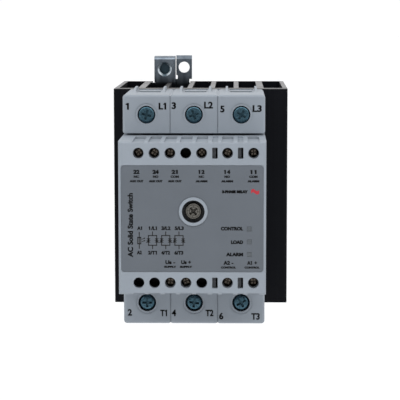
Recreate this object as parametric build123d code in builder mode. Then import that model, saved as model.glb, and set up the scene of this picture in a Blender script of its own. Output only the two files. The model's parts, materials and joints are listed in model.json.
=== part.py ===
"""Three-pole solid state relay on its own heatsink, for a 35 mm rail or a panel.

Frame: the origin is the centre of the heatsink's rear face, which is the face that lies against the panel.
+X is to the right seen from the front, +Y is to the rear and +Z is up. All sizes are in millimetres.
A "depth" is a distance in front of the rear face, so a plane at depth d lies at Y = -d and faces the front.
"""

import os

from build123d import *

os.makedirs("parts", exist_ok=True)

# ---------------------------------------------------------------- driving dimensions
# Heatsink: a closed extrusion, cut to length and anodised.
heatsink_width = 70.0
heatsink_height = 87.0
heatsink_depth = 66.5
base_plate = 8.0
rear_wall = 2.2
fins = ((4.6, 2.0), (14.3, 2.0), (24.1, 2.8), (34.1, 1.8))  # distance from the middle, thickness

# 35 mm rail, and the channel in the heatsink that holds the strap and the latch.
rail_recess_height = 36.0
rail_recess_depth = 8.4
channel_x = -14.1
channel_width = 16.6
channel_depth = 12.3
groove_depth = 0.9
strap_rear = 8.6
strap_thickness = 1.5
strap_width = channel_width + 1.6
latch_rear = 10.3
latch_travel = 4.0
hook_width = 12.0
tongue_x = -17.1
hook_outer = 19.2
hook_inner = 17.7
lip_end = 16.3
lip_rear = 4.9
lip_front = 6.4
lug_x = -8.3
lug_width = 6.8
lug_hole_radius = 2.4
lug_hole_z = 50.0
lug_top = 53.6
lug_lip = 1.5
lug_neck = (-11.1, -6.05)  # left and right edge of the lug where it leaves the strap
lug_shoulder_z = 44.9

# Earth terminal: a folded lug with a tapped collar beside the upper fixing lug.
earth_x = -16.4
earth_width = 8.9
earth_sheet = 1.2
earth_front = 18.4
earth_top = 55.0
earth_hole_z = 49.5
earth_thread_radius = 2.1

# Housing: one base with two terminal towers, and a cover between them.
housing_x = -1.7
housing_z = -0.3
housing_width = 54.0
housing_reach = {1: 43.7, -1: 44.2}  # up and down from its middle
tower_face = 107.0
tower_inner = 29.0
cover_rear = 92.0
cover_face = 133.7
cover_height = 56.5
wall = 1.8
corner = 1.2
edge = 0.9
sharp_edge = 0.25

# Load terminals, three above and three below.
pole_pitch = 18.0
terminal_z = 36.1
chamber = (13.4, 11.2)
chamber_z = 36.6
chamber_rear = 69.5
chamber_front = 104.2
screw_hole_radius = 3.4
ring_radius = 4.4
clamp_travel = 6.4
busbar_rear = 81.5
busbar_thickness = 2.5
wire_gap = 6.5
clamp_width = 12.0
clamp_height = 8.0
screw_head_rear = 100.3
head_turn = {"line": (75, 20, 60), "load": (90, 82, 30)}
head_dome = {"line": 1.0, "load": 1.7}
rib_pitch = 11.4
rib_height = 1.3
rib_rear = 67.4
rib_ramp = 79.0
rib_front = 92.5
entry = (8.6, 75.0, 84.0)  # width of the wire entry, and the depths it reaches between

# Control terminals, seven places above and seven below, of which ten are fitted.
control_x = (-19.65, -13.87, -8.1, -2.33, 3.45, 12.9, 22.4)
key_slot_x = (8.3, 17.65)
control_z = 23.9
control_hole_radius = 2.0
key_slot = (2.0, 4.05)
key_gap = 0.7
wire_pocket = (4.2, 111.3, 0.5)  # width, rear end and depth of the shallow pocket, which runs out at the front
wire_opening_front = 117.5
control_clamp_rear = 110.9
control_travel = 2.5
fitted = {
    "22": (0, 1),
    "24": (1, 1),
    "21": (2, 1),
    "12": (4, 1),
    "14": (5, 1),
    "11": (6, 1),
    "Us_minus": (2, -1),
    "Us_plus": (3, -1),
    "A2": (5, -1),
    "A1": (6, -1),
}

# Boards and what stands on them.
control_board_rear = 104.0
board_thickness = 1.6
driver_board_rear = 82.0
partition_rear = 87.5
partition_thickness = 2.0
module_size = (14.0, 32.0, 8.5)
pad_thickness = 0.2
lamp_x = 20.9
lamp_z = (-3.9, -8.6, -13.3)
cover_screw_at = (0.4, 2.5)
label_size = (51.9, 39.1)
label_z = -0.2
label_thickness = 0.25

poles = {"1": -pole_pitch, "2": 0.0, "3": pole_pitch}
rows = (1, -1)


# ---------------------------------------------------------------- helpers
def housing_plane(depth, x=0.0, z=0.0):
    """Plane that faces the front at a depth, centred on a point of the housing."""
    return Plane(origin=(housing_x + x, -depth, housing_z + z), x_dir=(1, 0, 0), z_dir=(0, -1, 0))


def save(part, name):
    """Names a finished piece and writes it."""
    part.label = name
    export_step(part, f"parts/{name}.step")


def cross_recess_screw(plane, head, shank, dome=0.6, collar=None, turn=0.0):
    """Screw with its head in front of the plane, its shank behind it, and a cross recess with four tick marks.

    Head, shank and collar are each a radius and a length. The collar keeps the screw captive under the wall
    it is driven through, and turn is the angle of the cross.
    """
    head_radius, head_height = head
    shank_radius, shank_length = shank
    with BuildPart() as screw:
        with BuildSketch(plane):
            Circle(head_radius)
        extrude(amount=head_height)
        rim = screw.edges().filter_by(GeomType.CIRCLE).sort_by(Axis.Y)[0]
        fillet(rim, dome)
        with BuildSketch(plane):
            Circle(shank_radius)
        extrude(amount=-shank_length)
        tip = screw.edges().filter_by(GeomType.CIRCLE).sort_by(Axis.Y)[-1]
        chamfer(tip, 0.15 * shank_radius)
        if collar:
            with BuildSketch(plane):
                Circle(collar[0])
            extrude(amount=collar[1])
        with BuildSketch(plane.offset(head_height)):
            Rectangle(1.15 * head_radius, 0.27 * head_radius, rotation=turn)
            Rectangle(0.27 * head_radius, 1.15 * head_radius, rotation=turn)
            Circle(0.24 * head_radius)
        extrude(amount=-0.6 * min(head_height, head_radius), mode=Mode.SUBTRACT)
        with BuildSketch(plane.offset(head_height)):
            with PolarLocations(0.58 * head_radius, 4, start_angle=45 + turn):
                Rectangle(0.42 * head_radius, 0.08 * head_radius)
        extrude(amount=-0.08 * head_radius, mode=Mode.SUBTRACT)
    return screw.part


def wire_clamp(x, z, rear, front, size, walls, thread_radius):
    """Clamp cage, open above and below for the wire, with a tapped front wall. Walls are side, rear, front."""
    width, height = size
    side, back, tapped = walls
    with BuildPart() as clamp:
        with BuildSketch(Plane.XY.offset(housing_z + z - height / 2)):
            with Locations((housing_x + x, -(rear + front) / 2)):
                RectangleRounded(width, front - rear, 0.4 * side)
            with Locations((housing_x + x, -(rear + back + front - tapped) / 2)):
                Rectangle(width - 2 * side, front - rear - back - tapped, mode=Mode.SUBTRACT)
        extrude(amount=height)
        with Locations(housing_plane(front, x, z)):
            Hole(thread_radius, depth=tapped + 0.1)
    return clamp.part


def wire_guide(x, row):
    """Tapered rib on a tower's outer face, with a ramp at its front end."""
    root = row * (housing_reach[row] - 0.4)
    tip = row * (housing_reach[row] + rib_height)
    with BuildPart() as rib:
        with BuildSketch(housing_plane(rib_rear, x)):
            with BuildLine():
                Polyline((-0.65, root), (0.65, root), (0.4, tip), (-0.4, tip), close=True)
            make_face()
        extrude(amount=rib_front - rib_rear)
        with BuildSketch(Plane.YZ.offset(housing_x + x)):
            with BuildLine():
                Polyline(
                    (-rib_front, housing_z + root),
                    (-rib_ramp, housing_z + tip),
                    (-rib_rear, housing_z + tip),
                    (-rib_rear, housing_z + root),
                    close=True,
                )
            make_face()
        extrude(amount=1.0, both=True, mode=Mode.INTERSECT)
    return rib.part


# ---------------------------------------------------------------- heatsink
base_screw_at = [(sx * 22.4, sz * 24.2) for sx in (1, -1) for sz in rows]

with BuildPart() as heatsink:
    with BuildSketch(Plane.XY.offset(-heatsink_height / 2)):
        with Locations((0, base_plate / 2 - heatsink_depth)):
            Rectangle(heatsink_width, base_plate)
        with Locations((0, -rear_wall / 2)):
            Rectangle(heatsink_width, rear_wall)
        for distance, thickness in fins:
            with Locations((distance, -heatsink_depth / 2), (-distance, -heatsink_depth / 2)):
                Rectangle(thickness, heatsink_depth)
        with Locations((channel_x, -channel_depth / 2)):
            Rectangle(channel_width, channel_depth, mode=Mode.SUBTRACT)
        with Locations((channel_x, -strap_rear - strap_thickness / 2)):
            Rectangle(channel_width + 2 * groove_depth, strap_thickness + 0.2, mode=Mode.SUBTRACT)
    extrude(amount=heatsink_height)
    upright = heatsink.edges().filter_by(Axis.Z).group_by(Axis.X)
    fillet(upright[0] + upright[-1], 0.6)
    with BuildSketch(Plane.XZ):
        Rectangle(heatsink_width, rail_recess_height)
    extrude(amount=rail_recess_depth, mode=Mode.SUBTRACT)
    with Locations([housing_plane(heatsink_depth, x, z) for x, z in base_screw_at]):
        Hole(1.5, depth=6.5)
    with Locations([housing_plane(heatsink_depth, x) for x in poles.values()]):
        Hole(2.0, depth=5.5)
save(heatsink.part, "heatsink")

# ---------------------------------------------------------------- strap, earth terminal and rail latch
with BuildPart() as mounting_strap:
    with BuildSketch(Plane.XZ.offset(strap_rear)):
        with Locations((channel_x, 0)):
            Rectangle(strap_width, heatsink_height - 0.4)
        for row in rows:
            with Locations((lug_x, row * (lug_shoulder_z + lug_top) / 2)):
                Rectangle(lug_width, lug_top - lug_shoulder_z)
            with Locations((sum(lug_neck) / 2, row * (lug_shoulder_z - 1.0))):
                Rectangle(lug_neck[1] - lug_neck[0], 2.2)
            with Locations((lug_neck[0] - 1.6, row * (lug_shoulder_z - 1.0))):
                Rectangle(3.3, 2.0)
            with Locations((lug_neck[0] - 0.4, row * (lug_shoulder_z + 0.85))):
                RectangleRounded(0.8, 1.7, 0.3, mode=Mode.SUBTRACT)
            with Locations((lug_x, row * lug_hole_z)):
                Circle(lug_hole_radius, mode=Mode.SUBTRACT)
        with Locations((channel_x, -(hook_inner + hook_outer + latch_travel - 0.6) / 2)):
            Rectangle(hook_width + 1.0, latch_travel + 5.2, mode=Mode.SUBTRACT)
        with Locations((earth_x, 37.5), (earth_x, 32.5)):
            Circle(1.25, mode=Mode.SUBTRACT)
    extrude(amount=strap_thickness)
    with BuildSketch(Plane.YZ.offset(lug_x)):
        for row in rows:
            with BuildLine():
                Polyline(
                    (-strap_rear - strap_thickness, row * lug_top),
                    (-strap_rear, row * lug_top),
                    (-strap_rear + lug_lip, row * (lug_top + lug_lip)),
                    (-strap_rear + lug_lip - strap_thickness, row * (lug_top + lug_lip)),
                    close=True,
                )
            make_face()
    extrude(amount=lug_width / 2, both=True)
    with BuildSketch(Plane.YZ.offset(channel_x)):
        with BuildLine():
            Polyline(
                (-strap_rear, hook_outer),
                (-lip_rear, hook_outer),
                (-lip_rear, lip_end),
                (-lip_front, lip_end),
                (-lip_front, hook_inner),
                (-strap_rear, hook_inner),
                close=True,
            )
        make_face()
    extrude(amount=hook_width / 2, both=True)
    with BuildSketch(Plane.XY.offset(8.0)):
        with Locations((-18.5, -strap_rear - strap_thickness - 3.7)):
            Rectangle(5.6, 7.6)
    extrude(amount=1.4)
save(mounting_strap.part, "mounting_strap")

with BuildPart() as earth_terminal:
    leaf_rear = strap_rear + strap_thickness
    with BuildSketch(Plane.YZ.offset(earth_x)):
        with BuildLine():
            fold = FilletPolyline(
                (-leaf_rear - earth_sheet / 2, 29.5),
                (-leaf_rear - earth_sheet / 2, earth_top - earth_sheet / 2),
                (-earth_front + earth_sheet / 2, earth_top - earth_sheet / 2),
                (-earth_front + earth_sheet / 2, heatsink_height / 2 + 0.3),
                radius=1.0,
            )
        trace(fold, line_width=earth_sheet)
    extrude(amount=earth_width / 2, both=True)
    with BuildSketch(Plane.XZ.offset(earth_front).shift_origin((earth_x, -earth_front, earth_hole_z))):
        Circle(3.05)
    extrude(amount=-4.4)
    with Locations(Plane.XZ.offset(earth_front).shift_origin((earth_x, -earth_front, earth_hole_z))):
        CounterSinkHole(earth_thread_radius, 3.05, depth=4.6, counter_sink_angle=90)
    for rivet_z in (37.5, 32.5):
        with Locations(Plane.XZ.offset(leaf_rear + earth_sheet).shift_origin((earth_x, -leaf_rear - earth_sheet, rivet_z))):
            Hole(1.25, depth=earth_sheet + 0.1)
save(earth_terminal.part, "earth_terminal")

with BuildPart() as earth_rivets:
    for rivet_z in (37.5, 32.5):
        with BuildSketch(Plane.XZ.offset(leaf_rear + earth_sheet)):
            with Locations((earth_x, rivet_z)):
                Circle(2.1)
        extrude(amount=0.6)
        with BuildSketch(Plane.XZ.offset(strap_rear)):
            with Locations((earth_x, rivet_z)):
                Circle(1.22)
        extrude(amount=strap_thickness + earth_sheet)
        with BuildSketch(Plane.XZ.offset(strap_rear)):
            with Locations((earth_x, rivet_z)):
                Circle(2.1)
        extrude(amount=-0.6)
save(earth_rivets.part, "earth_rivets")

latch_front = latch_rear + strap_thickness
with BuildPart() as rail_latch:
    with BuildSketch(Plane.XZ.offset(latch_rear)):
        with Locations((channel_x, -27.5)):
            Rectangle(channel_width - 0.8, 29.0)
        with Locations((tongue_x, -48.5)):
            Rectangle(8.6, 13.0)
        with Locations((tongue_x, -lug_hole_z)):
            Circle(2.5, mode=Mode.SUBTRACT)
    extrude(amount=strap_thickness)
    with BuildSketch(Plane.YZ.offset(channel_x)):
        with BuildLine():
            Polyline(
                (-latch_rear - 0.5, -hook_outer),
                (-lip_rear, -hook_outer),
                (-lip_rear, -lip_end - 1.2),
                (-lip_rear - 1.0, -lip_end),
                (-lip_front, -lip_end),
                (-lip_front, -hook_inner),
                (-latch_rear - 0.5, -hook_inner),
                close=True,
            )
        make_face()
    extrude(amount=hook_width / 2, both=True)
    with BuildSketch(Plane.XY.offset(-14.5)):
        with Locations((-18.5, -latch_front - 2.85)):
            Rectangle(5.6, 5.9)
    extrude(amount=1.4)
save(rail_latch.part, "rail_latch")

with BuildPart() as latch_spring:
    spring_radius = 2.1
    spring_wire = 0.35
    with BuildLine(Plane(origin=(-18.5, -15.0, -12.6))):
        coil = Helix(pitch=1.7, height=20.1, radius=spring_radius)
    with BuildSketch(Plane(origin=coil @ 0, z_dir=coil % 0)):
        Circle(spring_wire)
    sweep(is_frenet=True)
save(latch_spring.part, "latch_spring")

# ---------------------------------------------------------------- housing base
bay_width = housing_width - 2 * wall
bay_height = 2 * tower_inner - 3.4
partition_front = partition_rear + partition_thickness
tower_height = {row: housing_reach[row] - tower_inner for row in rows}

with BuildPart() as terminal_base:
    with BuildSketch(housing_plane(heatsink_depth)):
        with Locations((0, (housing_reach[1] - housing_reach[-1]) / 2)):
            Rectangle(housing_width, housing_reach[1] + housing_reach[-1])
    extrude(amount=cover_rear - heatsink_depth)
    with BuildSketch(housing_plane(cover_rear)):
        for row in rows:
            with Locations((0, row * (tower_inner + tower_height[row] / 2))):
                Rectangle(housing_width, tower_height[row])
    extrude(amount=tower_face - cover_rear)
    outline = terminal_base.edges().filter_by(Axis.Y).filter_by(lambda e: abs(e.center().Z - housing_z) > 43)
    fillet(outline, corner)
    inner_edges = terminal_base.edges().filter_by(Axis.X).filter_by(
        lambda e: abs(abs(e.center().Z - housing_z) - tower_inner) < 0.1 and abs(e.center().Y + tower_face) < 0.1
    )
    fillet(inner_edges, sharp_edge)
    tower_fronts = terminal_base.faces().filter_by(Axis.Y).sort_by(Axis.Y)[:2]
    outer_edges = tower_fronts.edges().filter_by(lambda e: abs(abs(e.center().Z - housing_z) - tower_inner) > 1.0)
    fillet(outer_edges, edge)

    # Bays behind and in front of the partition, with the boss for the cover screw.
    with BuildSketch(housing_plane(heatsink_depth)):
        Rectangle(bay_width, bay_height)
    extrude(amount=partition_rear - heatsink_depth, mode=Mode.SUBTRACT)
    with BuildSketch(housing_plane(partition_front)):
        Rectangle(bay_width, bay_height)
    extrude(amount=cover_rear - partition_front, mode=Mode.SUBTRACT)
    with BuildSketch(housing_plane(partition_rear)):
        with Locations((-18.5, 0), (18.5, 0)):
            Rectangle(9.0, 34.0)
    extrude(amount=partition_thickness, mode=Mode.SUBTRACT)
    with BuildSketch(housing_plane(partition_front, *cover_screw_at)):
        Circle(4.0)
    extrude(amount=control_board_rear - partition_front)
    for x in (-11.0, 8.5):
        for z in (-23.5, 23.5):
            with BuildSketch(housing_plane(partition_front, x, z)):
                Circle(1.6)
            extrude(amount=control_board_rear - partition_front)
    with Locations(housing_plane(control_board_rear, *cover_screw_at)):
        Hole(2.03, depth=15.5)

    # Corner feet that the base screws pull on to the heatsink.
    for x, z in base_screw_at:
        with BuildSketch(housing_plane(heatsink_depth, x, z)):
            Rectangle(6.4, 7.2)
        extrude(amount=4.0)
    with Locations([housing_plane(heatsink_depth + 4.0, x, z) for x, z in base_screw_at]):
        Hole(1.7, depth=4.1)

    # Tongues that hook into the cover's side windows.
    for side in (1, -1):
        with BuildSketch(housing_plane(partition_front, side * (housing_width / 2 - wall - 0.75))):
            with Locations((0, 14), (0, -14)):
                Rectangle(1.3, 7.0)
        extrude(amount=99.0 - partition_front)
        with BuildSketch(housing_plane(95.9, side * (housing_width / 2 - wall + 0.35))):
            with Locations((0, 14), (0, -14)):
                Rectangle(1.3, 6.0)
        extrude(amount=1.6)

    # One chamber a terminal, with its screw hole, wire entry, busbar slot and guide ribs.
    for row in rows:
        for x in poles.values():
            with BuildSketch(housing_plane(chamber_rear, x, row * chamber_z)):
                Rectangle(*chamber)
            extrude(amount=chamber_front - chamber_rear, mode=Mode.SUBTRACT)
            with Locations(housing_plane(tower_face, x, row * terminal_z)):
                CounterBoreHole(screw_hole_radius, ring_radius, 0.25, depth=tower_face - chamber_front + 0.1)
            outer = Plane.XY.offset(housing_z + row * housing_reach[row])
            with BuildSketch(outer):
                with Locations((housing_x + x, -(rib_rear + rib_front + 0.4) / 2)):
                    Rectangle(rib_pitch - 2.0, rib_front + 0.4 - rib_rear)
            extrude(amount=-row * 0.3, mode=Mode.SUBTRACT)
            with BuildSketch(outer):
                with Locations((housing_x + x, -(entry[1] + entry[2]) / 2)):
                    RectangleRounded(entry[0], entry[2] - entry[1], 1.0)
            extrude(amount=-row * 3.0, mode=Mode.SUBTRACT)
            with BuildSketch(housing_plane(busbar_rear - 0.5, x, row * (tower_inner - 1.0))):
                Rectangle(8.8, 6.0)
            extrude(amount=busbar_thickness + 1.0, mode=Mode.SUBTRACT)
            for side in (1, -1):
                add(wire_guide(x + side * rib_pitch / 2, row))

    # Grooves that part the poles: a fine one on the front and a wide V on the outer faces.
    for x in (-pole_pitch / 2, pole_pitch / 2):
        for row in rows:
            with BuildSketch(Plane.XY.offset(housing_z + row * tower_inner)):
                with Locations((housing_x + x, -tower_face)):
                    Rectangle(0.4, 0.7)
            extrude(amount=row * tower_height[row], mode=Mode.SUBTRACT)
            with BuildSketch(housing_plane(heatsink_depth + 0.01, x, row * housing_reach[row])):
                with BuildLine():
                    Polyline((-0.85, 0.01 * row), (0, -0.45 * row), (0.85, 0.01 * row), close=True)
                make_face()
            extrude(amount=tower_face - heatsink_depth, mode=Mode.SUBTRACT)
save(terminal_base.part, "terminal_base")

with BuildPart() as base_screws:
    for x, z in base_screw_at:
        plane = housing_plane(heatsink_depth + 4.0, x, z)
        add(cross_recess_screw(plane, (2.7, 2.0), (1.45, 9.5)))
save(base_screws.part, "base_screws")

# ---------------------------------------------------------------- front cover
cover_inner = (housing_width - 2 * wall, cover_height - 2 * wall)
front_wall = 2.0
with BuildPart() as front_cover:
    with BuildSketch(housing_plane(cover_rear)):
        Rectangle(housing_width, cover_height)
    extrude(amount=cover_face - cover_rear)
    front = front_cover.faces().sort_by(Axis.Y)[0]
    fillet(front.edges(), edge)
    with BuildSketch(housing_plane(cover_rear)):
        Rectangle(*cover_inner)
    extrude(amount=cover_face - cover_rear - front_wall, mode=Mode.SUBTRACT)
    with BuildSketch(housing_plane(control_board_rear + board_thickness, *cover_screw_at)):
        Circle(4.9)
    extrude(amount=cover_face - front_wall - control_board_rear - board_thickness)
    with BuildSketch(housing_plane(cover_face, *cover_screw_at)):
        Circle(5.25)
    extrude(amount=0.35)
    with Locations(housing_plane(cover_face + 0.35, *cover_screw_at)):
        CounterBoreHole(2.2, 4.15, 4.0, depth=31.0)
    with BuildSketch(housing_plane(cover_face, 0, label_z)):
        RectangleRounded(label_size[0] + 0.3, label_size[1] + 0.3, 1.1)
        with Locations((cover_screw_at[0], cover_screw_at[1] - label_z)):
            Circle(5.3, mode=Mode.SUBTRACT)
    extrude(amount=-label_thickness, mode=Mode.SUBTRACT)
    for z in lamp_z:
        with BuildSketch(housing_plane(cover_face, lamp_x, z)):
            Rectangle(1.8, 1.8)
        extrude(amount=-front_wall - 0.1, mode=Mode.SUBTRACT)
    for side in (1, -1):
        for z in (14, -14):
            with BuildSketch(housing_plane(95.7, side * (housing_width / 2 - wall / 2), z)):
                Rectangle(wall + 0.2, 6.6)
            extrude(amount=2.1, mode=Mode.SUBTRACT)
    for row in rows:
        outer = Plane.XY.offset(housing_z + row * cover_height / 2)
        for x in control_x:
            with BuildSketch(housing_plane(cover_face, x, row * control_z)):
                Circle(control_hole_radius)
            extrude(amount=-front_wall - 0.1, mode=Mode.SUBTRACT)
            with BuildSketch(outer):
                with Locations((housing_x + x, -(wire_pocket[1] + cover_face + 1.0) / 2)):
                    Rectangle(wire_pocket[0], cover_face + 1.0 - wire_pocket[1])
            extrude(amount=-row * wire_pocket[2], mode=Mode.SUBTRACT)
            with BuildSketch(outer):
                with Locations((housing_x + x, -(wire_pocket[1] + wire_opening_front) / 2)):
                    Rectangle(wire_pocket[0], wire_opening_front - wire_pocket[1])
            extrude(amount=-row * (wall + 0.1), mode=Mode.SUBTRACT)
        for x in key_slot_x:
            with BuildSketch(housing_plane(cover_face, x, row * control_z)):
                RectangleRounded(*key_slot, 0.3)
            extrude(amount=-front_wall - 0.1, mode=Mode.SUBTRACT)
            with BuildSketch(outer):
                with Locations((housing_x + x, -(wire_pocket[1] + cover_face + 1.0) / 2)):
                    Rectangle(key_slot[0], cover_face + 1.0 - wire_pocket[1])
            extrude(amount=-row * wire_pocket[2], mode=Mode.SUBTRACT)
save(front_cover.part, "front_cover")

with BuildPart() as label:
    with BuildSketch(housing_plane(cover_face - label_thickness, 0, label_z)):
        RectangleRounded(*label_size, 1.0)
        with Locations((cover_screw_at[0], cover_screw_at[1] - label_z)):
            Circle(5.45, mode=Mode.SUBTRACT)
        for z in lamp_z:
            with Locations((lamp_x, z - label_z)):
                Rectangle(1.8, 1.8, mode=Mode.SUBTRACT)
    extrude(amount=label_thickness)
save(label.part, "label")

with BuildPart() as light_guides:
    for z in lamp_z:
        with BuildSketch(housing_plane(106.9, lamp_x, z)):
            Rectangle(1.7, 1.7)
        extrude(amount=cover_face - 0.1 - 106.9)
        with BuildSketch(housing_plane(cover_face - front_wall - 1.2, lamp_x, z)):
            Rectangle(2.6, 2.6)
        extrude(amount=1.2)
save(light_guides.part, "light_guides")

cover_screw_seat = housing_plane(cover_face - 3.65, *cover_screw_at)
save(cross_recess_screw(cover_screw_seat, (3.0, 2.6), (2.0, 38.0), dome=0.45, turn=40), "cover_screw")

# ---------------------------------------------------------------- control terminals
chamber_inner = 21.5
contact_rear = control_clamp_rear + 3.4
with BuildPart() as control_blocks:
    for row in rows:
        with BuildSketch(housing_plane(control_board_rear + board_thickness, 1.375, row * 23.125)):
            Rectangle(47.45, 6.45)
        extrude(amount=131.4 - control_board_rear - board_thickness)
        for index, x in enumerate(control_x):
            if (index, row) not in fitted.values():
                with BuildSketch(housing_plane(131.4, x, row * control_z)):
                    Circle(control_hole_radius)
                extrude(amount=-11.0, mode=Mode.SUBTRACT)
                continue
            with BuildSketch(housing_plane(control_clamp_rear - 0.2, x, row * (chamber_inner + 26.6) / 2)):
                Rectangle(4.6, 26.6 - chamber_inner)
            extrude(amount=130.1 - control_clamp_rear + 0.2, mode=Mode.SUBTRACT)
            with BuildSketch(housing_plane(130.0, x, row * control_z)):
                Circle(1.7)
            extrude(amount=1.5, mode=Mode.SUBTRACT)
            with BuildSketch(housing_plane(control_board_rear + board_thickness, x, row * 20.85)):
                Rectangle(3.0, 1.5)
            extrude(amount=contact_rear + 0.9 - control_board_rear - board_thickness, mode=Mode.SUBTRACT)
        for x in key_slot_x:
            with BuildSketch(housing_plane(131.4, x + (key_slot[0] - key_gap) / 2, row * control_z)):
                Rectangle(key_gap, key_slot[1])
            extrude(amount=-6.0, mode=Mode.SUBTRACT)
save(control_blocks.part, "control_blocks")

with BuildPart() as control_contacts:
    for index, row in fitted.values():
        x = control_x[index]
        with BuildSketch(housing_plane(contact_rear, x, row * 23.2)):
            Rectangle(2.8, 5.2)
        extrude(amount=0.8)
        with BuildSketch(housing_plane(control_board_rear + board_thickness, x, row * 20.95)):
            Rectangle(2.8, 0.7)
        extrude(amount=contact_rear + 0.8 - control_board_rear - board_thickness)
        with BuildSketch(housing_plane(control_board_rear - 1.5, x, row * 20.95)):
            Rectangle(1.0, 0.7)
        extrude(amount=board_thickness + 1.5)
save(control_contacts.part, "control_contacts")

for name, (index, row) in fitted.items():
    at = (control_x[index], row * control_z)
    shank = (1.25, 127.4 - contact_rear - 0.9)
    screw = cross_recess_screw(housing_plane(127.4, *at), (1.9, 2.4), shank, dome=1.1, turn=35 + 25 * index)
    save(screw, f"control_screw_{name}")
    clamp = wire_clamp(*at, control_clamp_rear, control_clamp_rear + 6.4, (4.3, 4.4), (0.6, 0.8, 1.5), 1.3)
    save(clamp, f"control_clamp_{name}")

# ---------------------------------------------------------------- load terminals
for pole, (number, x) in enumerate(poles.items()):
    for side, row in (("line", 1), ("load", -1)):
        at = (x, row * terminal_z)
        shape = {"collar": (4.0, 3.6), "dome": head_dome[side], "turn": head_turn[side][pole]}
        screw = cross_recess_screw(housing_plane(screw_head_rear, *at), (3.3, 6.4), (2.5, 16.2), **shape)
        save(screw, f"{side}_screw_{number}")
        clamp = wire_clamp(*at, 73.0, 88.5, (clamp_width, clamp_height), (1.6, 2.0, 3.5), 2.55)
        save(clamp, f"{side}_clamp_{number}")

# ---------------------------------------------------------------- power modules and boards
module_front = heatsink_depth + pad_thickness + module_size[2]
with BuildPart() as module_pads:
    with BuildSketch(housing_plane(heatsink_depth)):
        for x in poles.values():
            with Locations((x, 0)):
                Rectangle(module_size[0], module_size[1])
                Circle(2.2, mode=Mode.SUBTRACT)
    extrude(amount=pad_thickness)
save(module_pads.part, "module_pads")

with BuildPart() as power_modules:
    for x in poles.values():
        with BuildSketch(housing_plane(heatsink_depth + pad_thickness, x)):
            RectangleRounded(module_size[0], module_size[1], 1.0)
            Circle(2.2, mode=Mode.SUBTRACT)
        extrude(amount=module_size[2])
    for face in power_modules.faces().filter_by(Axis.Y).group_by(Axis.Y)[0]:
        chamfer(face.outer_wire().edges(), 0.6)
save(power_modules.part, "power_modules")

with BuildPart() as module_screws:
    for x in poles.values():
        add(cross_recess_screw(housing_plane(module_front, x), (3.6, 2.6), (2.0, 13.5)))
save(module_screws.part, "module_screws")

with BuildPart() as busbars:
    for row in rows:
        for x in poles.values():
            with BuildSketch(Plane.YZ.offset(housing_x + x)):
                with BuildLine():
                    Polyline(
                        (-module_front, housing_z + row * 12.5),
                        (-busbar_rear - busbar_thickness, housing_z + row * 12.5),
                        (-busbar_rear - busbar_thickness, housing_z + row * 41.0),
                        (-busbar_rear, housing_z + row * 41.0),
                        (-busbar_rear, housing_z + row * 15.0),
                        (-module_front, housing_z + row * 15.0),
                        close=True,
                    )
                make_face()
            extrude(amount=4.2, both=True)
save(busbars.part, "busbars")

with BuildPart() as driver_board:
    with BuildSketch(housing_plane(85.2)):
        Rectangle(bay_width - 0.6, 54.0)
        for x in poles.values():
            with GridLocations(3.0, 16.0, 2, 2):
                with Locations((x, 0)):
                    Circle(0.55, mode=Mode.SUBTRACT)
    extrude(amount=board_thickness)
save(driver_board.part, "driver_board")

with BuildPart() as module_pins:
    with BuildSketch(housing_plane(module_front)):
        for x in poles.values():
            with GridLocations(3.0, 16.0, 2, 2):
                with Locations((x, 0)):
                    Circle(0.5)
    extrude(amount=86.8 - module_front)
save(module_pins.part, "module_pins")

with BuildPart() as gate_couplers:
    with BuildSketch(housing_plane(85.2)):
        for x in (-pole_pitch / 2, pole_pitch / 2):
            with Locations((x, 5.2), (x, -5.2)):
                Rectangle(3.4, 8.8)
    extrude(amount=-3.4)
save(gate_couplers.part, "gate_couplers")

with BuildPart() as board_link:
    with BuildSketch(housing_plane(86.8, -18.5)):
        Rectangle(5.0, 22.0)
    extrude(amount=control_board_rear - 86.8)
save(board_link.part, "board_link")

with BuildPart() as control_board:
    with BuildSketch(housing_plane(control_board_rear)):
        Rectangle(cover_inner[0] - 0.4, cover_inner[1] - 0.4)
        with Locations(cover_screw_at):
            Circle(2.2, mode=Mode.SUBTRACT)
        for index, row in fitted.values():
            with Locations((control_x[index], row * 20.95)):
                Rectangle(1.1, 0.8, mode=Mode.SUBTRACT)
    extrude(amount=board_thickness)
save(control_board.part, "control_board")

board_front = control_board_rear + board_thickness
with BuildPart() as signal_relays:
    for z in (11.5, -11.5):
        with BuildSketch(housing_plane(board_front, -13.5, z)):
            RectangleRounded(18.0, 10.0, 0.5)
        extrude(amount=15.0)
    fillet(signal_relays.faces().sort_by(Axis.Y)[0].edges(), 0.4)
save(signal_relays.part, "signal_relays")

with BuildPart() as capacitors:
    for x, z in ((11.5, 13.5), (11.5, -13.5)):
        with BuildSketch(housing_plane(board_front, x, z)):
            Circle(4.0)
        extrude(amount=11.0)
    fillet(capacitors.faces().filter_by(Axis.Y).sort_by(Axis.Y)[0].edges(), 0.5)
save(capacitors.part, "capacitors")

with BuildPart() as signal_chips:
    with BuildSketch(housing_plane(board_front)):
        with Locations((12.0, 0)):
            Rectangle(7.0, 7.0)
        with Locations((-17.0, 0), (-7.5, 0)):
            Rectangle(5.0, 4.0)
    extrude(amount=1.4)
save(signal_chips.part, "signal_chips")

with BuildPart() as lamps:
    for z in lamp_z:
        with BuildSketch(housing_plane(board_front, lamp_x, z)):
            Rectangle(2.0, 1.4)
        extrude(amount=1.2)
save(lamps.part, "lamps")
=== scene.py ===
"""Looks for a three-pole solid state relay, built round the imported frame.

Lengths are in metres. Named sizes and places are in millimetres, and MM turns them into metres.
"""

import json
import math

import bmesh
import bpy
from mathutils import Matrix, Vector


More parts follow.
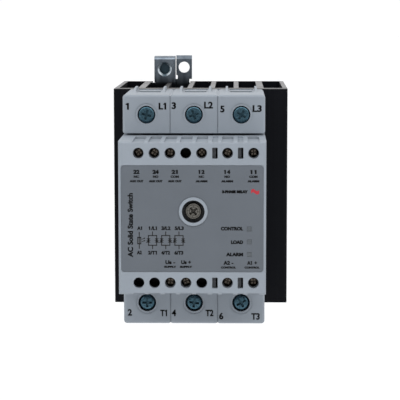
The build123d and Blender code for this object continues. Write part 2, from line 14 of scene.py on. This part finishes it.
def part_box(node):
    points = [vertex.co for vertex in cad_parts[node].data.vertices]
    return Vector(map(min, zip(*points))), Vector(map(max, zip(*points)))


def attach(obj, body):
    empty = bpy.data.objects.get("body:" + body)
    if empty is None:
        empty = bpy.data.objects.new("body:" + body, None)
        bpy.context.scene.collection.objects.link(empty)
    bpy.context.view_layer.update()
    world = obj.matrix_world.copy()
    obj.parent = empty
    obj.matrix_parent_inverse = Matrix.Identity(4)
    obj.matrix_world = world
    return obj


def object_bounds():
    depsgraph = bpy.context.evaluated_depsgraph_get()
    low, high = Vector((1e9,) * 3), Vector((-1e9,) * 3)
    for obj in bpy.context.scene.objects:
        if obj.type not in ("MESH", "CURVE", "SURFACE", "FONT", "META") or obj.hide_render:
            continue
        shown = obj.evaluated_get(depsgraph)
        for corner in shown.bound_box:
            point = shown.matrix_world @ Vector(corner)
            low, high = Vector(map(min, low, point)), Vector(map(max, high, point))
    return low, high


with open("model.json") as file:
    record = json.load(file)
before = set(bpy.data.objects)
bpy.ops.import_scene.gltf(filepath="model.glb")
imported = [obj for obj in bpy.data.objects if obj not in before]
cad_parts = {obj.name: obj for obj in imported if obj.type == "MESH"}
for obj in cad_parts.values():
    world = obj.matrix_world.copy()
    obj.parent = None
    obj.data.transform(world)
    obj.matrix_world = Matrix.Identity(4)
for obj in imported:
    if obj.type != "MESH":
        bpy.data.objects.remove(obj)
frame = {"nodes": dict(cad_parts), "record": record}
cad_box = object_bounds()

MM = 0.001
nodes = frame["nodes"]


def mm(*values):
    return Vector([v * MM for v in values])


# ---------------------------------------------------------------- node material helpers
def new_material(name, color, roughness, metallic=0.0, **sockets):
    """Principled material with its plain values set on the shader's own sockets."""
    material = bpy.data.materials.new(name)
    material.use_nodes = True
    shader = material.node_tree.nodes["Principled BSDF"]
    shader.inputs["Base Color"].default_value = (*color, 1)
    shader.inputs["Roughness"].default_value = roughness
    shader.inputs["Metallic"].default_value = metallic
    for socket, value in sockets.items():
        shader.inputs[socket.replace("_", " ")].default_value = value
    return material


class Graph:
    """Short calls for the nodes of one material."""

    def __init__(self, material):
        self.tree = material.node_tree
        self.shader = self.tree.nodes["Principled BSDF"]

    def add(self, kind, **settings):
        node = self.tree.nodes.new(kind)
        for key, value in settings.items():
            if key in node.inputs:
                node.inputs[key].default_value = value
            else:
                setattr(node, key, value)
        return node

    def link(self, a, b):
        self.tree.links.new(a, b)

    def coords(self, scale=(1, 1, 1)):
        place = self.add("ShaderNodeTexCoord")
        mapping = self.add("ShaderNodeMapping")
        mapping.inputs["Scale"].default_value = scale
        self.link(place.outputs["Object"], mapping.inputs["Vector"])
        return mapping.outputs["Vector"]

    def noise(self, scale, detail=3.0, stretch=(1, 1, 1), roughness=0.5):
        node = self.add("ShaderNodeTexNoise", Scale=scale, Detail=detail, Roughness=roughness)
        self.link(self.coords(stretch), node.inputs["Vector"])
        return node.outputs["Fac"]

    def ramp(self, value, stops):
        node = self.add("ShaderNodeValToRGB")
        elements = node.color_ramp.elements
        while len(elements) < len(stops):
            elements.new(0.5)
        for element, (position, color) in zip(elements, stops):
            element.position = position
            element.color = (*color, 1) if len(color) == 3 else color
        self.link(value, node.inputs["Fac"])
        return node.outputs["Color"]

    def remap(self, value, low, high, from_low=0.3, from_high=0.7):
        node = self.add("ShaderNodeMapRange")
        ends = {"From Min": from_low, "From Max": from_high, "To Min": low, "To Max": high}
        for socket, number in ends.items():
            node.inputs[socket].default_value = number
        self.link(value, node.inputs["Value"])
        return node.outputs["Result"]

    def math(self, operation, a, b=0.0):
        node = self.add("ShaderNodeMath", operation=operation)
        for index, value in enumerate((a, b)):
            if isinstance(value, (int, float)):
                node.inputs[index].default_value = value
            else:
                self.link(value, node.inputs[index])
        return node.outputs[0]

    def mix(self, factor, a, b):
        node = self.add("ShaderNodeMix", data_type="RGBA")
        for socket, value in zip((node.inputs[0], node.inputs[6], node.inputs[7]), (factor, a, b)):
            if isinstance(value, (int, float)):
                socket.default_value = value
            elif isinstance(value, tuple):
                socket.default_value = (*value, 1)
            else:
                self.link(value, socket)
        return node.outputs[2]

    def object_axis(self, axis):
        place = self.add("ShaderNodeTexCoord")
        split = self.add("ShaderNodeSeparateXYZ")
        self.link(place.outputs["Object"], split.inputs[0])
        return split.outputs[axis]

    def normal_axis(self, axis):
        geometry = self.add("ShaderNodeNewGeometry")
        split = self.add("ShaderNodeSeparateXYZ")
        self.link(geometry.outputs["Normal"], split.inputs[0])
        return split.outputs[axis]

    def color(self, value):
        self.link(value, self.shader.inputs["Base Color"])

    def rough(self, value):
        self.link(value, self.shader.inputs["Roughness"])

    def bump(self, height, strength, distance):
        node = self.add("ShaderNodeBump", Strength=strength, Distance=distance)
        self.link(height, node.inputs["Height"])
        self.link(node.outputs["Normal"], self.shader.inputs["Normal"])

    def darken(self, factor):
        """Multiplies whatever already feeds the base colour."""
        plain = self.shader.inputs["Base Color"].links[0].from_socket
        self.color(self.mix(factor, (0, 0, 0), plain))

    def distance_from(self, x, z):
        """Distance in metres from the line that runs front to back through x and z in millimetres."""
        place = self.add("ShaderNodeTexCoord")
        offset = self.add("ShaderNodeVectorMath", operation="SUBTRACT")
        offset.inputs[1].default_value = mm(x, 0, z)
        flat = self.add("ShaderNodeVectorMath", operation="MULTIPLY")
        flat.inputs[1].default_value = (1, 0, 1)
        length = self.add("ShaderNodeVectorMath", operation="LENGTH")
        self.link(place.outputs["Object"], offset.inputs[0])
        self.link(offset.outputs["Vector"], flat.inputs[0])
        self.link(flat.outputs["Vector"], length.inputs[0])
        return length.outputs["Value"]


def shade(color, factor):
    return tuple(c * factor for c in color)


# ---------------------------------------------------------------- materials
def moulded_plastic(name, color, roughness, variation=0.04, grain=5200, grain_depth=0.012):
    """Moulded plastic: a slow mottle, a fine spark-eroded grain and faint handling marks in the gloss."""
    material = new_material(name, color, roughness)
    g = Graph(material)
    mottle = g.noise(55, 4)
    g.color(g.ramp(mottle, ((0.3, shade(color, 1 - variation)), (0.7, shade(color, 1 + variation)))))
    marks = g.noise(260, 5, roughness=0.65)
    g.rough(g.remap(marks, roughness - 0.07, roughness + 0.07))
    g.bump(g.noise(grain, 2), 0.25, grain_depth * MM)
    return material


def plated_metal(name, color, roughness, tint, scale=900, metallic=1.0, stretch=(1, 1, 1), depth=0.01):
    """Plated metal: the plating's tone drifts between two tints, with fine drawn or stamped marks."""
    material = new_material(name, color, roughness, metallic)
    g = Graph(material)
    drift = g.noise(scale, 4, stretch)
    g.color(g.ramp(drift, ((0.32, color), (0.7, tint))))
    g.rough(g.remap(g.noise(scale * 2.5, 4, stretch), roughness - 0.08, roughness + 0.12))
    g.bump(g.noise(scale * 4, 3, stretch), 0.3, depth * MM)
    return material


HOUSING = (0.214, 0.243, 0.279)
LABEL = (0.085, 0.098, 0.116)

# The well round the cover screw is darkened with painted shade.
COVER_SCREW = (-1.3, 2.2)  # x and z of its axis
WELL_RADIUS = 4.16
COVER_FACE_Y = -134.0
housing = moulded_plastic("housing", HOUSING, 0.52)
g = Graph(housing)
outside_well = g.remap(g.distance_from(*COVER_SCREW), 0.0, 1.0, WELL_RADIUS * MM, (WELL_RADIUS + 0.04) * MM)
in_front = g.remap(g.object_axis("Y"), 1.0, 0.14, COVER_FACE_Y * MM, (COVER_FACE_Y + 0.6) * MM)
g.darken(g.math("MAXIMUM", outside_well, in_front))

# Extrusion lines run up the fins; the sawn ends are bare metal with blade marks across them.
heatsink_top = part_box("heatsink")[1].z
anodised = new_material("anodised", (0.0025, 0.003, 0.0045), 0.45, 0.0, Specular_IOR_Level=0.08)
g = Graph(anodised)
cut = g.math("GREATER_THAN", g.math("ABSOLUTE", g.object_axis("Z")), heatsink_top - 0.04 * MM)
lines = g.noise(1, 3, (3200, 3200, 9))
black = g.ramp(lines, ((0.3, (0.0018, 0.0021, 0.0034)), (0.7, (0.0038, 0.0043, 0.0062))))
blade = g.noise(1, 4, (60, 5200, 60))
patches = g.noise(140, 3)
bare_dark = g.ramp(blade, ((0.28, (0.140, 0.138, 0.140)), (0.72, (0.215, 0.212, 0.215))))
bare_light = g.ramp(blade, ((0.28, (0.200, 0.198, 0.201)), (0.72, (0.310, 0.307, 0.311))))
bare = g.mix(g.remap(patches, 0.0, 1.0, 0.38, 0.62), bare_dark, bare_light)
# The base plate's end is painted darker than the rest, and the end of the fin between the strap and the earth
# lug is darkened with the painted shadow of those tabs.
SHADED_FIN_X = -14.3
FINS_END_Y = -58.4
fin_distance = g.math("ABSOLUTE", g.math("SUBTRACT", g.object_axis("X"), SHADED_FIN_X * MM))
off_fin = g.remap(fin_distance, 0.22, 1.0, 1.6 * MM, 1.8 * MM)
shaded_fin = g.math("MAXIMUM", off_fin, g.math("LESS_THAN", g.object_axis("Y"), FINS_END_Y * MM))
darker_plate_end = g.remap(g.object_axis("Y"), 0.55, 1.0, (FINS_END_Y - 0.6) * MM, FINS_END_Y * MM)
bare = g.mix(g.math("MULTIPLY", shaded_fin, darker_plate_end), (0, 0, 0), bare)
g.color(g.mix(cut, black, bare))
g.rough(g.mix(cut, g.remap(lines, 0.36, 0.50), g.remap(blade, 0.50, 0.66)))
g.link(g.math("MULTIPLY", cut, 0.25), g.shader.inputs["Metallic"])
g.bump(g.mix(cut, lines, blade), 0.25, 0.03 * MM)

label_film = new_material("label_film", LABEL, 0.42)
g = Graph(label_film)
g.color(g.ramp(g.noise(70, 4), ((0.3, shade(LABEL, 0.96)), (0.7, shade(LABEL, 1.05)))))
g.rough(g.remap(g.noise(420, 5, roughness=0.7), 0.36, 0.5))
g.bump(g.noise(7000, 2), 0.12, 0.006 * MM)


def ink(name, color):
    """Printed ink: slightly uneven cover, a little glossier than the film."""
    material = new_material(name, color, 0.45)
    g = Graph(material)
    g.color(g.ramp(g.noise(2600, 3), ((0.3, color), (0.75, tuple(c + 0.006 for c in color)))))
    g.rough(g.remap(g.noise(1500, 2), 0.38, 0.52))
    return material


black_ink = ink("black_ink", (0.003, 0.003, 0.004))
red_ink = ink("red_ink", (0.330, 0.010, 0.022))

# Bright zinc sheet. The earth lug's flared collar gets a painted highlight on both sides, round a thread
# darkened with painted shade, and faces that look to the front are darkened with painted shadow where they go
# down between the fins.
ZINC_DARK = (0.130, 0.156, 0.188)
ZINC_LIGHT = (0.215, 0.250, 0.288)
EARTH_HOLE = (-16.4, 49.5)
COLLAR_RADIUS = 3.02
THREAD_RADIUS = 2.25
zinc_sheet = plated_metal("zinc_sheet", ZINC_DARK, 0.34, ZINC_LIGHT, 420, 1.0, (1, 1, 0.15))
g = Graph(zinc_sheet)
radius = g.distance_from(*EARTH_HOLE)
collar = g.math("LESS_THAN", radius, COLLAR_RADIUS * MM)
# Collar faces turned sideways get the painted highlight; the thread inside gets painted shade.
sideways = g.remap(g.math("ABSOLUTE", g.normal_axis("X")), 0.0, 1.0, 0.12, 0.5)
flare = g.mix(sideways, (0.130, 0.180, 0.215), (0.780, 0.850, 0.900))
thread = g.math("LESS_THAN", radius, THREAD_RADIUS * MM)
flare = g.mix(thread, flare, (0.085, 0.130, 0.160))
plating = g.shader.inputs["Base Color"].links[0].from_socket
# Front-facing faces low down between the fins get painted shadow.
depth = g.remap(g.object_axis("Z"), 0.12, 1.0, 42.5 * MM, 46.5 * MM)
facing = g.remap(g.normal_axis("Y"), 1.0, 0.0, -0.5, -0.2)
shaded_plating = g.mix(g.math("MAXIMUM", depth, g.math("SUBTRACT", 1.0, facing)), (0, 0, 0), plating)
g.color(g.mix(collar, shaded_plating, flare))


def screw_metal(name, color, tint, scale, front, depth, floor):
    """Plated screw with its full colour at the front of the head, darkened with painted shade down to a floor
    share below it.
    """
    material = plated_metal(name, color, 0.27, tint, scale)
    g = Graph(material)
    g.darken(g.remap(g.object_axis("Y"), 1.0, floor, -front * MM, (depth - front) * MM))
    return material


teal_screw = screw_metal(
    "teal_screw", (0.034, 0.074, 0.102), (0.072, 0.134, 0.170), 1500, front=106.7, depth=1.1, floor=0.62
)
control_screw = screw_metal(
    "control_screw", (0.060, 0.049, 0.040), (0.230, 0.195, 0.160), 2600, front=129.8, depth=0.7, floor=0.25
)
steel_screw = screw_metal(
    "steel_screw", (0.105, 0.100, 0.090), (0.235, 0.226, 0.206), 1900, front=132.65, depth=0.5, floor=0.35
)
RING_PITCH = 0.85  # turning marks on the cover screw's head
g = Graph(steel_screw)
rings = g.math("SINE", g.math("MULTIPLY", g.distance_from(*COVER_SCREW), 2 * math.pi / (RING_PITCH * MM)))
g.darken(g.remap(rings, 0.55, 1.0, -0.6, 0.6))
clamp_steel = plated_metal("clamp_steel", (0.380, 0.385, 0.380), 0.33, (0.600, 0.600, 0.585), 700)
spring_wire = plated_metal("spring_wire", (0.300, 0.300, 0.310), 0.28, (0.520, 0.520, 0.520), 1800)
copper = plated_metal("copper", (0.520, 0.270, 0.160), 0.30, (0.700, 0.430, 0.290), 500, 1.0, (0.2, 1, 1))
tinned = plated_metal("tinned", (0.560, 0.555, 0.530), 0.30, (0.720, 0.715, 0.690), 900)

# The control blocks are darkened with painted shade behind their front edges.
BLOCK_EDGE_Y = -131.4
dark_block = moulded_plastic("dark_block", (0.085, 0.092, 0.104), 0.5)
g = Graph(dark_block)
g.darken(g.remap(g.object_axis("Y"), 1.0, 0.08, BLOCK_EDGE_Y * MM, (BLOCK_EDGE_Y + 0.4) * MM))

black_package = moulded_plastic("black_package", (0.016, 0.016, 0.017), 0.45)
relay_case = moulded_plastic("relay_case", (0.62, 0.63, 0.60), 0.35)
capacitor_can = moulded_plastic("capacitor_can", (0.030, 0.036, 0.110), 0.3)
thermal_pad = moulded_plastic("thermal_pad", (0.42, 0.43, 0.47), 0.7)
lamp_body = moulded_plastic("lamp_body", (0.60, 0.62, 0.55), 0.25)

circuit_board = new_material("circuit_board", (0.012, 0.095, 0.040), 0.35)
g = Graph(circuit_board)
tracks = g.add("ShaderNodeTexBrick", Scale=240.0)
g.link(g.coords((1, 0, 1)), tracks.inputs["Vector"])
for socket, green in (
    ("Color1", (0.010, 0.080, 0.034, 1)), ("Color2", (0.014, 0.105, 0.046, 1)),
    ("Mortar", (0.022, 0.150, 0.070, 1)),
):
    tracks.inputs[socket].default_value = green
g.color(tracks.outputs["Color"])
g.rough(g.remap(g.noise(600, 3), 0.28, 0.42))
g.bump(tracks.outputs["Fac"], 0.3, 0.03 * MM)

guide = new_material("clear_guide", (0.078, 0.090, 0.102), 0.25, 0.0, Transmission_Weight=0.15, IOR=1.5)
g = Graph(guide)
g.color(g.ramp(g.noise(1800, 3), ((0.3, (0.066, 0.077, 0.088)), (0.7, (0.094, 0.108, 0.122)))))
g.bump(g.noise(3500, 2), 0.2, 0.01 * MM)

slots = {
    "anodised": anodised, "zinc_sheet": zinc_sheet, "spring_wire": spring_wire, "housing": housing,
    "steel_screw": steel_screw, "label_film": label_film, "clear_guide": guide, "dark_block": dark_block,
    "copper": copper, "thermal_pad": thermal_pad, "circuit_board": circuit_board, "tinned": tinned,
    "black_package": black_package, "relay_case": relay_case, "capacitor_can": capacitor_can,
    "lamp_body": lamp_body, "teal_screw": teal_screw, "control_screw": control_screw,
    "clamp_steel": clamp_steel,
}
for part in frame["record"]["subparts"]:
    mesh = nodes[part["node"]].data
    mesh.materials.clear()
    mesh.materials.append(slots[part["material_slot"]])


# ---------------------------------------------------------------- printed text and symbols
glyphs = {}


def font_outline(words, bold):
    """Mesh points and faces of words in the built-in font, about one unit to the em."""
    curve = bpy.data.curves.new("words", "FONT")
    curve.body = words
    curve.offset = bold
    curve.extrude = 0.5
    curve.resolution_u = 4
    holder = bpy.data.objects.new("words", curve)
    bpy.context.scene.collection.objects.link(holder)
    bpy.context.view_layer.update()
    shape = bpy.data.meshes.new_from_object(holder.evaluated_get(bpy.context.evaluated_depsgraph_get()))
    points = [tuple(v.co) for v in shape.vertices]
    faces = [tuple(p.vertices) for p in shape.polygons]
    bpy.data.objects.remove(holder)
    bpy.data.curves.remove(curve)
    bpy.data.meshes.remove(shape)
    return points, faces


def prism(outline):
    """Points and faces of a flat outline given a unit of thickness."""
    count = len(outline)
    points = [(x, y, z) for z in (0.5, -0.5) for x, y in outline]
    sides = [(i, i + count, (i + 1) % count + count, (i + 1) % count) for i in range(count)]
    return points, [tuple(range(count)), tuple(range(2 * count - 1, count - 1, -1))] + sides


def glyph(char, bold):
    """Points, faces and step of one character, with capitals one unit high and their foot at zero."""
    if (char, bold) in glyphs:
        return glyphs[char, bold]
    if char == " ":
        glyphs[char, bold] = ([], [], 0.42)
        return glyphs[char, bold]
    if char == "1":
        stroke = 0.15 + 2.4 * bold
        edge = 0.48
        inner = edge - stroke
        stem, stem_faces = prism([(inner, 0), (edge, 0), (edge, 1), (inner, 1)])
        tip = [(edge - 0.4 * stroke, 1), (inner, 1)]
        flag, flag_faces = prism([(0.08, 0.68), (inner, 0.74), *tip, (0.08, 0.80)])
        faces = stem_faces + [tuple(i + len(stem) for i in face) for face in flag_faces]
        glyphs[char, bold] = (stem + flag, faces, 0.80)
        return glyphs[char, bold]
    capital = [p[1] for p in font_outline("H", bold)[0]]
    foot, cap = min(capital), max(capital) - min(capital)
    points, faces = font_outline(char, bold)
    h_width = max(p[0] for p in font_outline("H", bold)[0])
    step = max(p[0] for p in font_outline(char + "H", bold)[0]) - h_width
    glyphs[char, bold] = ([(px / cap, (py - foot) / cap, pz) for px, py, pz in points], faces, step / cap)
    return glyphs[char, bold]


class Print:
    """One layer of print on a face that looks to -Y, collected into one mesh."""

    THICKNESS = 0.02 * MM
    SPREAD = 0.07  # how far the ink of letters spreads sideways, in millimetres

    def __init__(self, name, face_y):
        self.name = name
        self.y = face_y - 0.005 * MM
        self.mesh = bmesh.new()

    def text(self, words, x, z, height, width=None, bold=0.0, turn=0.0, align="CENTER"):
        """Words with capitals of a height, fitted to a width. z is their middle, x the middle or an edge."""
        pen = 0.0
        points, faces = [], []
        for char in words:
            vertices, polygons, step = glyph(char, bold)
            faces += [tuple(i + len(points) for i in polygon) for polygon in polygons]
            points += [(px + pen, py, pz) for px, py, pz in vertices]
            pen += step
        low, high = min(p[0] for p in points), max(p[0] for p in points)
        scale_x = width / (high - low) if width else height
        anchor = {"CENTER": (low + high) / 2, "LEFT": low, "RIGHT": high}[align]
        spin = Matrix.Rotation(math.radians(turn), 4, "Y")
        origin = Vector((x * MM, self.y, z * MM))
        for shift in (-self.SPREAD / 2, self.SPREAD / 2):
            placed = []
            for px, py, pz in points:
                across = ((px - anchor) * scale_x + shift) * MM
                rise = (py - 0.5) * height * MM
                placed.append(origin + spin @ Vector((across, pz * self.THICKNESS, rise)))
            shape = bpy.data.meshes.new("words")
            shape.from_pydata(placed, [], faces)
            self.mesh.from_mesh(shape)
            bpy.data.meshes.remove(shape)

    def polygon(self, points):
        """Flat filled shape through (x, z) points in millimetres."""
        front = [self.mesh.verts.new((x * MM, self.y - self.THICKNESS / 2, z * MM)) for x, z in points]
        back = [self.mesh.verts.new((x * MM, self.y + self.THICKNESS / 2, z * MM)) for x, z in points]
        self.mesh.faces.new(front)
        self.mesh.faces.new(back[::-1])
        for i in range(len(points)):
            j = (i + 1) % len(points)
            self.mesh.faces.new((front[i], back[i], back[j], front[j]))

    def line(self, start, end, width):
        (x0, z0), (x1, z1) = start, end
        length = math.hypot(x1 - x0, z1 - z0)
        dx, dz = (x1 - x0) / length * width / 2, (z1 - z0) / length * width / 2
        self.polygon([
            (x0 - dx - dz, z0 - dz + dx), (x1 + dx - dz, z1 + dz + dx),
            (x1 + dx + dz, z1 + dz - dx), (x0 - dx + dz, z0 - dz - dx),
        ])

    def loop(self, low, high, width):
        (x0, z0), (x1, z1) = low, high
        for a, b in (((x0, z0), (x1, z0)), ((x1, z0), (x1, z1)), ((x1, z1), (x0, z1)), ((x0, z1), (x0, z0))):
            self.line(a, b, width)

    def done(self, material):
        bmesh.ops.recalc_face_normals(self.mesh, faces=self.mesh.faces)
        data = bpy.data.meshes.new(self.name)
        self.mesh.to_mesh(data)
        self.mesh.free()
        data.materials.append(material)
        piece = bpy.data.objects.new(self.name, data)
        bpy.context.scene.collection.objects.link(piece)
        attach(piece, "relay")


label_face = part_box("label")[0].y
title = Print("label_print", label_face)

# Terminal numbers, functions and groups along the label's top and bottom.
NUMBER_ROW = 16.75
CONTACT_ROW = 15.0
GROUP_ROW = 13.36
ROLE_DROP = 1.72
for number, contact, group, x in (
    ("22", "NC", "AUX OUT", -22.0), ("24", "NO", "AUX OUT", -15.0), ("21", "COM", "AUX OUT", -8.05),
    ("12", "NC", "ALARM", 1.7), ("14", "NO", "ALARM", 11.05), ("11", "COM", "ALARM", 20.6),
):
    title.text(number, x, NUMBER_ROW, 1.5, 2.25, bold=0.06)
    title.text(contact, x, CONTACT_ROW, 0.9, 1.95 if len(contact) == 2 else 3.0, bold=0.055)
    title.text(group, x, GROUP_ROW, 0.82, 5.0 if group == "AUX OUT" else 4.3, bold=0.08)
for pin, role, x, z in (
    ("Us -", "SUPPLY", -9.75, -16.5), ("Us +", "SUPPLY", -3.95, -16.5),
    ("A2 -", "CONTROL", 11.55, -16.7), ("A1 +", "CONTROL", 20.2, -16.7),
):
    title.text(pin, x, z, 1.45, 3.6, bold=0.045)
    title.text(role, x, z - ROLE_DROP, 0.76, 4.5 if role == "SUPPLY" else 5.5, bold=0.07)
for word, z, width in (("CONTROL", -4.05, 8.1), ("LOAD", -9.05, 4.4), ("ALARM", -13.6, 6.2)):
    title.text(word, 16.9, z, 1.35, width, align="RIGHT", bold=0.055)
title.text("AC Solid State Switch", -24.35, -2.85, 1.95, 23.6, turn=-90, bold=0.035)
title.text("3-PHASE RELAY", 13.9, 9.5, 1.1, 9.4, bold=0.085)

# Circuit diagram: the opto input, then three pairs of thyristors in parallel.
STROKE = 0.36
THIN_STROKE = 0.26
UPPER_ROW = -3.94
OPTO_X = -21.1
PAIR_TOP = -6.65
PAIR_MIDDLE = -8.45
PAIR_BOTTOM = -10.25
PAIR_HALF_WIDTH = 1.5
title.text("A1", -20.95, UPPER_ROW, 1.35, 1.8, bold=0.05)
title.text("A2", OPTO_X, -12.95, 1.35, 1.8, bold=0.05)
title.line((OPTO_X, -5.5), (OPTO_X, -11.35), STROKE)
title.loop((OPTO_X - 0.55, -9.7), (OPTO_X + 0.55, -7.35), STROKE)
for z in (-8.0, -8.9):
    title.line((-20.1, z), (-19.1, z + 0.35), THIN_STROKE)
    title.polygon([(-18.8, z + 0.48), (-19.25, z + 0.02), (-19.4, z + 0.62)])
for x, top, bottom in ((-16.22, "1/L1", "2/T1"), (-11.4, "3/L2", "4/T2"), (-6.55, "5/L3", "6/T3")):
    title.text(top, x + 0.1, UPPER_ROW, 1.35, 3.0 if top == "1/L1" else 3.3, bold=0.05)
    title.text(bottom, x - 0.05, -13.0, 1.35, 3.2, bold=0.05)
    title.line((x, -5.3), (x, PAIR_TOP), STROKE)
    title.line((x, PAIR_BOTTOM), (x, -11.5), STROKE)
    title.loop((x - PAIR_HALF_WIDTH, PAIR_BOTTOM), (x + PAIR_HALF_WIDTH, PAIR_TOP), STROKE)
    for side in (-1, 1):
        cx = x + side * PAIR_HALF_WIDTH
        for sense in (1, -1):
            base = PAIR_MIDDLE + sense * 0.78
            title.polygon([(cx - 0.75, base), (cx, base - sense * 0.82), (cx + 0.75, base)])
        title.line((cx - 0.6, PAIR_MIDDLE), (cx + 0.6, PAIR_MIDDLE), THIN_STROKE)
        title.line((cx, PAIR_MIDDLE), (cx + side * 0.7, -9.2), THIN_STROKE)
title.done(black_ink)

# A plain wave stands where the photograph has a mark.
MARK_X = 21.25
mark = Print("label_mark", label_face)
wave = [(i / 12 * 3.0 - 1.5, 0.42 * math.sin(i / 12 * 2 * math.pi)) for i in range(13)]
upper_edge = [(MARK_X + x, 10.15 + z) for x, z in wave]
lower_edge = [(MARK_X + x, 8.9 + z) for x, z in wave]
mark.polygon(upper_edge + lower_edge[::-1])
mark.done(red_ink)

TOWER_NUMBER_HEIGHT = 2.55
tower_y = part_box("terminal_base")[0].y
numbers = Print("terminal_numbers", tower_y)
for words, x, z, width in (
    ("1", -26.9, 39.0, 1.15), ("L1", -13.6, 39.05, 2.8), ("3", -9.28, 39.25, 1.6),
    ("L2", 3.85, 39.45, 3.3), ("5", 9.1, 38.0, 1.6), ("L3", 22.25, 38.15, 3.4),
    ("2", -26.4, -40.2, 1.6), ("T1", -13.4, -40.4, 2.6), ("4", -9.45, -40.35, 1.6),
    ("T2", 4.2, -40.35, 3.0), ("6", 8.7, -41.55, 1.6), ("T3", 21.85, -41.65, 3.2),
):
    numbers.text(words, x, z, TOWER_NUMBER_HEIGHT, width, bold=0.035)
numbers.done(black_ink)

# ---------------------------------------------------------------- floor, light and camera
FLOOR_REACH = 30.0  # in metres, like the drop
FLOOR_DROP = 0.5
floor_material = new_material(
    "floor", (0.86, 0.87, 0.88), 0.8, 0.0, Emission_Color=(1, 1, 1, 1), Emission_Strength=0.14
)
g = Graph(floor_material)
g.color(g.ramp(g.noise(3, 3), ((0.3, (0.85, 0.86, 0.87)), (0.7, (0.88, 0.885, 0.89)))))
floor_mesh = bpy.data.meshes.new("floor")
floor_z = cad_box[0].z - FLOOR_DROP
sides = ((-1, -1), (1, -1), (1, 1), (-1, 1))
corners = [(x * FLOOR_REACH, y * FLOOR_REACH, floor_z) for x, y in sides]
floor_mesh.from_pydata(corners, [], [(0, 1, 2, 3)])
floor_mesh.materials.append(floor_material)
floor = bpy.data.objects.new("floor", floor_mesh)
bpy.context.scene.collection.objects.link(floor)

# The studio is white all round, a little brighter overhead and dimmer on the side the object faces.
world = bpy.data.worlds.new("studio")
bpy.context.scene.world = world
world.use_nodes = True
sky = world.node_tree
background = sky.nodes["Background"]
background.inputs["Color"].default_value = (1, 1, 1, 1)
direction = sky.nodes.new("ShaderNodeTexCoord")
parts = sky.nodes.new("ShaderNodeSeparateXYZ")
sky.links.new(direction.outputs["Generated"], parts.inputs[0])
levels = []
for axis, span, strengths in (("Y", (-1.0, 0.0), (0.26, 1.02)), ("Z", (0.15, 1.0), (1.0, 1.25))):
    level = sky.nodes.new("ShaderNodeMapRange")
    for socket, number in zip(("From Min", "From Max", "To Min", "To Max"), (*span, *strengths)):
        level.inputs[socket].default_value = number
    sky.links.new(parts.outputs[axis], level.inputs["Value"])
    levels.append(level.outputs["Result"])
strength = sky.nodes.new("ShaderNodeMath")
strength.operation = "MULTIPLY"
for level, socket in zip(levels, strength.inputs):
    sky.links.new(level, socket)
sky.links.new(strength.outputs[0], background.inputs["Strength"])


def softbox(name, place, target, size, power):
    light = bpy.data.lights.new(name, "AREA")
    light.shape = "RECTANGLE"
    light.size, light.size_y = size
    light.energy = power
    holder = bpy.data.objects.new(name, light)
    holder.location = place
    holder.rotation_euler = (Vector(target) - Vector(place)).to_track_quat("-Z", "Y").to_euler()
    bpy.context.scene.collection.objects.link(holder)


MIDDLE = (0, -0.09, 0)  # of the relay, in metres
softbox("left", (-0.75, -0.75, 0.55), MIDDLE, (0.35, 0.8), 1.8)
softbox("right", (0.75, -0.75, 0.55), MIDDLE, (0.35, 0.8), 1.8)
softbox("above", (0, -0.80, 0.80), MIDDLE, (1.5, 0.9), 8.8)

# The camera was solved from the straight edges in the photograph.
CAMERA_PLACE = (14.01, -742.19, 78.51)
FOCAL_LENGTH = 151.19
YAW, PITCH, ROLL = (math.radians(a) for a in (1.21, 6.75, -0.058))
forward = Vector((-math.sin(YAW) * math.cos(PITCH), math.cos(YAW) * math.cos(PITCH), -math.sin(PITCH)))
right = forward.cross(Vector((0, 0, 1))).normalized()
up = right.cross(forward)
right_rolled = math.cos(ROLL) * right + math.sin(ROLL) * up
up_rolled = math.cos(ROLL) * up - math.sin(ROLL) * right
camera_data = bpy.data.cameras.new("camera")
camera_data.sensor_width = 36.0
camera_data.lens = FOCAL_LENGTH
camera_data.clip_start = 0.01
camera_data.clip_end = 200
camera = bpy.data.objects.new("camera", camera_data)
turn = Matrix((right_rolled, up_rolled, -forward)).transposed().to_4x4()
camera.matrix_world = Matrix.Translation(mm(*CAMERA_PLACE)) @ turn
bpy.context.scene.collection.objects.link(camera)
bpy.context.scene.camera = camera
bpy.context.scene.view_settings.view_transform = "Standard"
